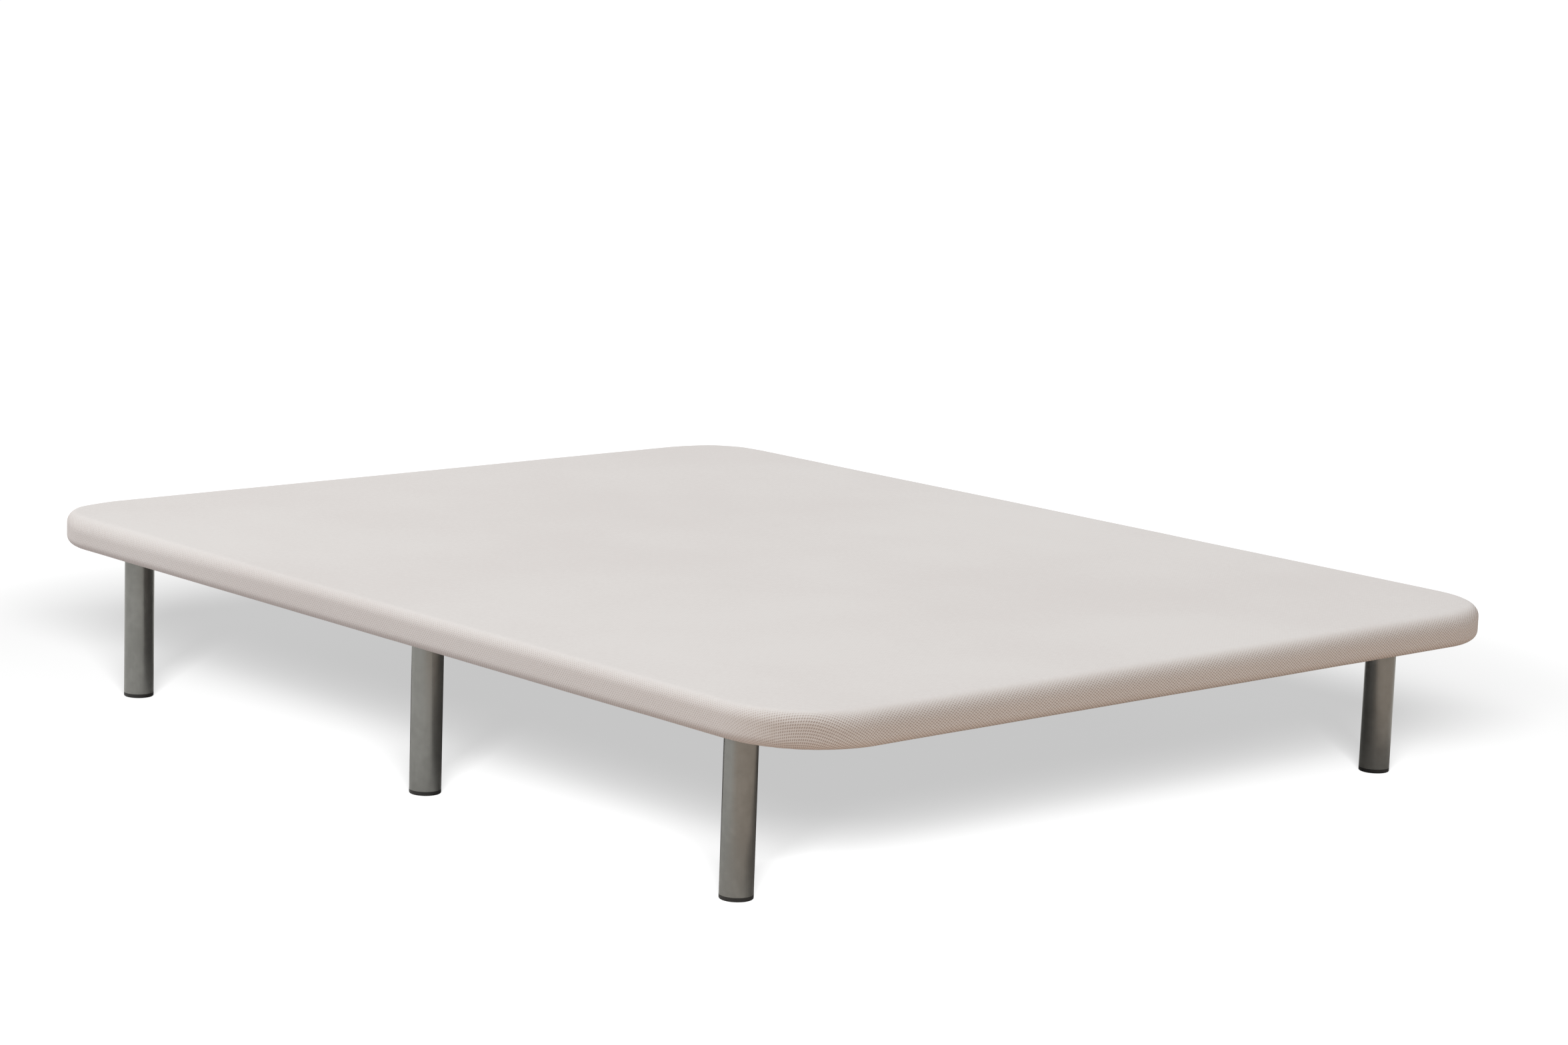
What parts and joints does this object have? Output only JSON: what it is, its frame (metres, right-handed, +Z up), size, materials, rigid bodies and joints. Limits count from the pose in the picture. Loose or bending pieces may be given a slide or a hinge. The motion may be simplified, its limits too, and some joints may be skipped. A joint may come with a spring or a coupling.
{
  "type": "bed base",
  "caption": "Low upholstered bed base with rounded corners: a board on a steel tube frame, wrapped in thin foam and beige spacer mesh, on round metal legs that screw in.",
  "frame": {"origin": "on the floor under the middle of the base", "axes": "+X along the length towards the foot end, +Y across the width towards the left side, +Z up"},
  "size_m": [1.9, 1.5, 0.2925],
  "materials": {
    "cover_mesh": "matte beige three-dimensional spacer mesh with small holes",
    "foam": "matte open-cell foam",
    "lining": "matte non-woven lining",
    "board": "raw particle board",
    "batten": "raw softwood",
    "frame_paint": "satin dark grey powder coat",
    "leg_paint": "satin metallic grey paint",
    "black_plastic": "matte moulded plastic",
    "zinc": "bright zinc plate"
  },
  "bodies": {
    "platform": {"cover": "cover_mesh", "lining": "lining", "top_foam": "foam", "side_foam": "foam", "board": "board", "board_screws": "zinc", "side_rail_left": "frame_paint", "side_rail_right": "frame_paint", "side_battens_left": "batten", "side_battens_right": "batten", "end_rail_head": "frame_paint", "end_rail_foot": "frame_paint", "end_batten_head": "batten", "end_batten_foot": "batten", "corner_bend_head_left": "frame_paint", "corner_bend_head_right": "frame_paint", "corner_bend_foot_left": "frame_paint", "corner_bend_foot_right": "frame_paint", "corner_block_head_left": "batten", "corner_block_head_right": "batten", "corner_block_foot_left": "batten", "corner_block_foot_right": "batten", "cross_tube_1": "frame_paint", "cross_tube_2": "frame_paint", "cross_tube_3": "frame_paint", "cross_tube_4": "frame_paint", "cross_tube_5": "frame_paint", "socket_head_left": "zinc", "socket_head_right": "zinc", "socket_middle_left": "zinc", "socket_middle_right": "zinc", "socket_foot_left": "zinc", "socket_foot_right": "zinc"},
    "leg_head_left_screw": {"leg_bolt_head_left": "zinc"},
    "leg_head_left": {"leg_tube_head_left": "leg_paint", "leg_disc_head_left": "leg_paint", "foot_cap_head_left": "black_plastic"},
    "leg_head_right_screw": {"leg_bolt_head_right": "zinc"},
    "leg_head_right": {"leg_tube_head_right": "leg_paint", "leg_disc_head_right": "leg_paint", "foot_cap_head_right": "black_plastic"},
    "leg_middle_left_screw": {"leg_bolt_middle_left": "zinc"},
    "leg_middle_left": {"leg_tube_middle_left": "leg_paint", "leg_disc_middle_left": "leg_paint", "foot_cap_middle_left": "black_plastic"},
    "leg_middle_right_screw": {"leg_bolt_middle_right": "zinc"},
    "leg_middle_right": {"leg_tube_middle_right": "leg_paint", "leg_disc_middle_right": "leg_paint", "foot_cap_middle_right": "black_plastic"},
    "leg_foot_left_screw": {"leg_bolt_foot_left": "zinc"},
    "leg_foot_left": {"leg_tube_foot_left": "leg_paint", "leg_disc_foot_left": "leg_paint", "foot_cap_foot_left": "black_plastic"},
    "leg_foot_right_screw": {"leg_bolt_foot_right": "zinc"},
    "leg_foot_right": {"leg_tube_foot_right": "leg_paint", "leg_disc_foot_right": "leg_paint", "foot_cap_foot_right": "black_plastic"}
  },
  "joints": [
    {"name": "leg_head_left_drop", "type": "slide", "parent": "platform", "child": "leg_head_left_screw", "axis": [0, 0, 1], "range_m": [-0.0316, 0]},
    {"name": "leg_head_left_turn", "type": "hinge", "parent": "leg_head_left_screw", "child": "leg_head_left", "pos_m": [-0.75, 0.669, 0.24], "axis": [0, 0, 1], "range_deg": [-7560, 0]},
    {"name": "leg_head_right_drop", "type": "slide", "parent": "platform", "child": "leg_head_right_screw", "axis": [0, 0, 1], "range_m": [-0.0316, 0]},
    {"name": "leg_head_right_turn", "type": "hinge", "parent": "leg_head_right_screw", "child": "leg_head_right", "pos_m": [-0.75, -0.669, 0.24], "axis": [0, 0, 1], "range_deg": [-7560, 0]},
    {"name": "leg_middle_left_drop", "type": "slide", "parent": "platform", "child": "leg_middle_left_screw", "axis": [0, 0, 1], "range_m": [-0.0316, 0]},
    {"name": "leg_middle_left_turn", "type": "hinge", "parent": "leg_middle_left_screw", "child": "leg_middle_left", "pos_m": [0.04, 0.669, 0.24], "axis": [0, 0, 1], "range_deg": [-7560, 0]},
    {"name": "leg_middle_right_drop", "type": "slide", "parent": "platform", "child": "leg_middle_right_screw", "axis": [0, 0, 1], "range_m": [-0.0316, 0]},
    {"name": "leg_middle_right_turn", "type": "hinge", "parent": "leg_middle_right_screw", "child": "leg_middle_right", "pos_m": [0.04, -0.669, 0.24], "axis": [0, 0, 1], "range_deg": [-7560, 0]},
    {"name": "leg_foot_left_drop", "type": "slide", "parent": "platform", "child": "leg_foot_left_screw", "axis": [0, 0, 1], "range_m": [-0.0316, 0]},
    {"name": "leg_foot_left_turn", "type": "hinge", "parent": "leg_foot_left_screw", "child": "leg_foot_left", "pos_m": [0.75, 0.669, 0.24], "axis": [0, 0, 1], "range_deg": [-7560, 0]},
    {"name": "leg_foot_right_drop", "type": "slide", "parent": "platform", "child": "leg_foot_right_screw", "axis": [0, 0, 1], "range_m": [-0.0316, 0]},
    {"name": "leg_foot_right_turn", "type": "hinge", "parent": "leg_foot_right_screw", "child": "leg_foot_right", "pos_m": [0.75, -0.669, 0.24], "axis": [0, 0, 1], "range_deg": [-7560, 0]}
  ],
  "couplings": [
    {"joint": "leg_head_left_drop", "follows": "leg_head_left_turn", "m_per_rad": 0.00023873},
    {"joint": "leg_head_right_drop", "follows": "leg_head_right_turn", "m_per_rad": 0.00023873},
    {"joint": "leg_middle_left_drop", "follows": "leg_middle_left_turn", "m_per_rad": 0.00023873},
    {"joint": "leg_middle_right_drop", "follows": "leg_middle_right_turn", "m_per_rad": 0.00023873},
    {"joint": "leg_foot_left_drop", "follows": "leg_foot_left_turn", "m_per_rad": 0.00023873},
    {"joint": "leg_foot_right_drop", "follows": "leg_foot_right_turn", "m_per_rad": 0.00023873}
  ]
}
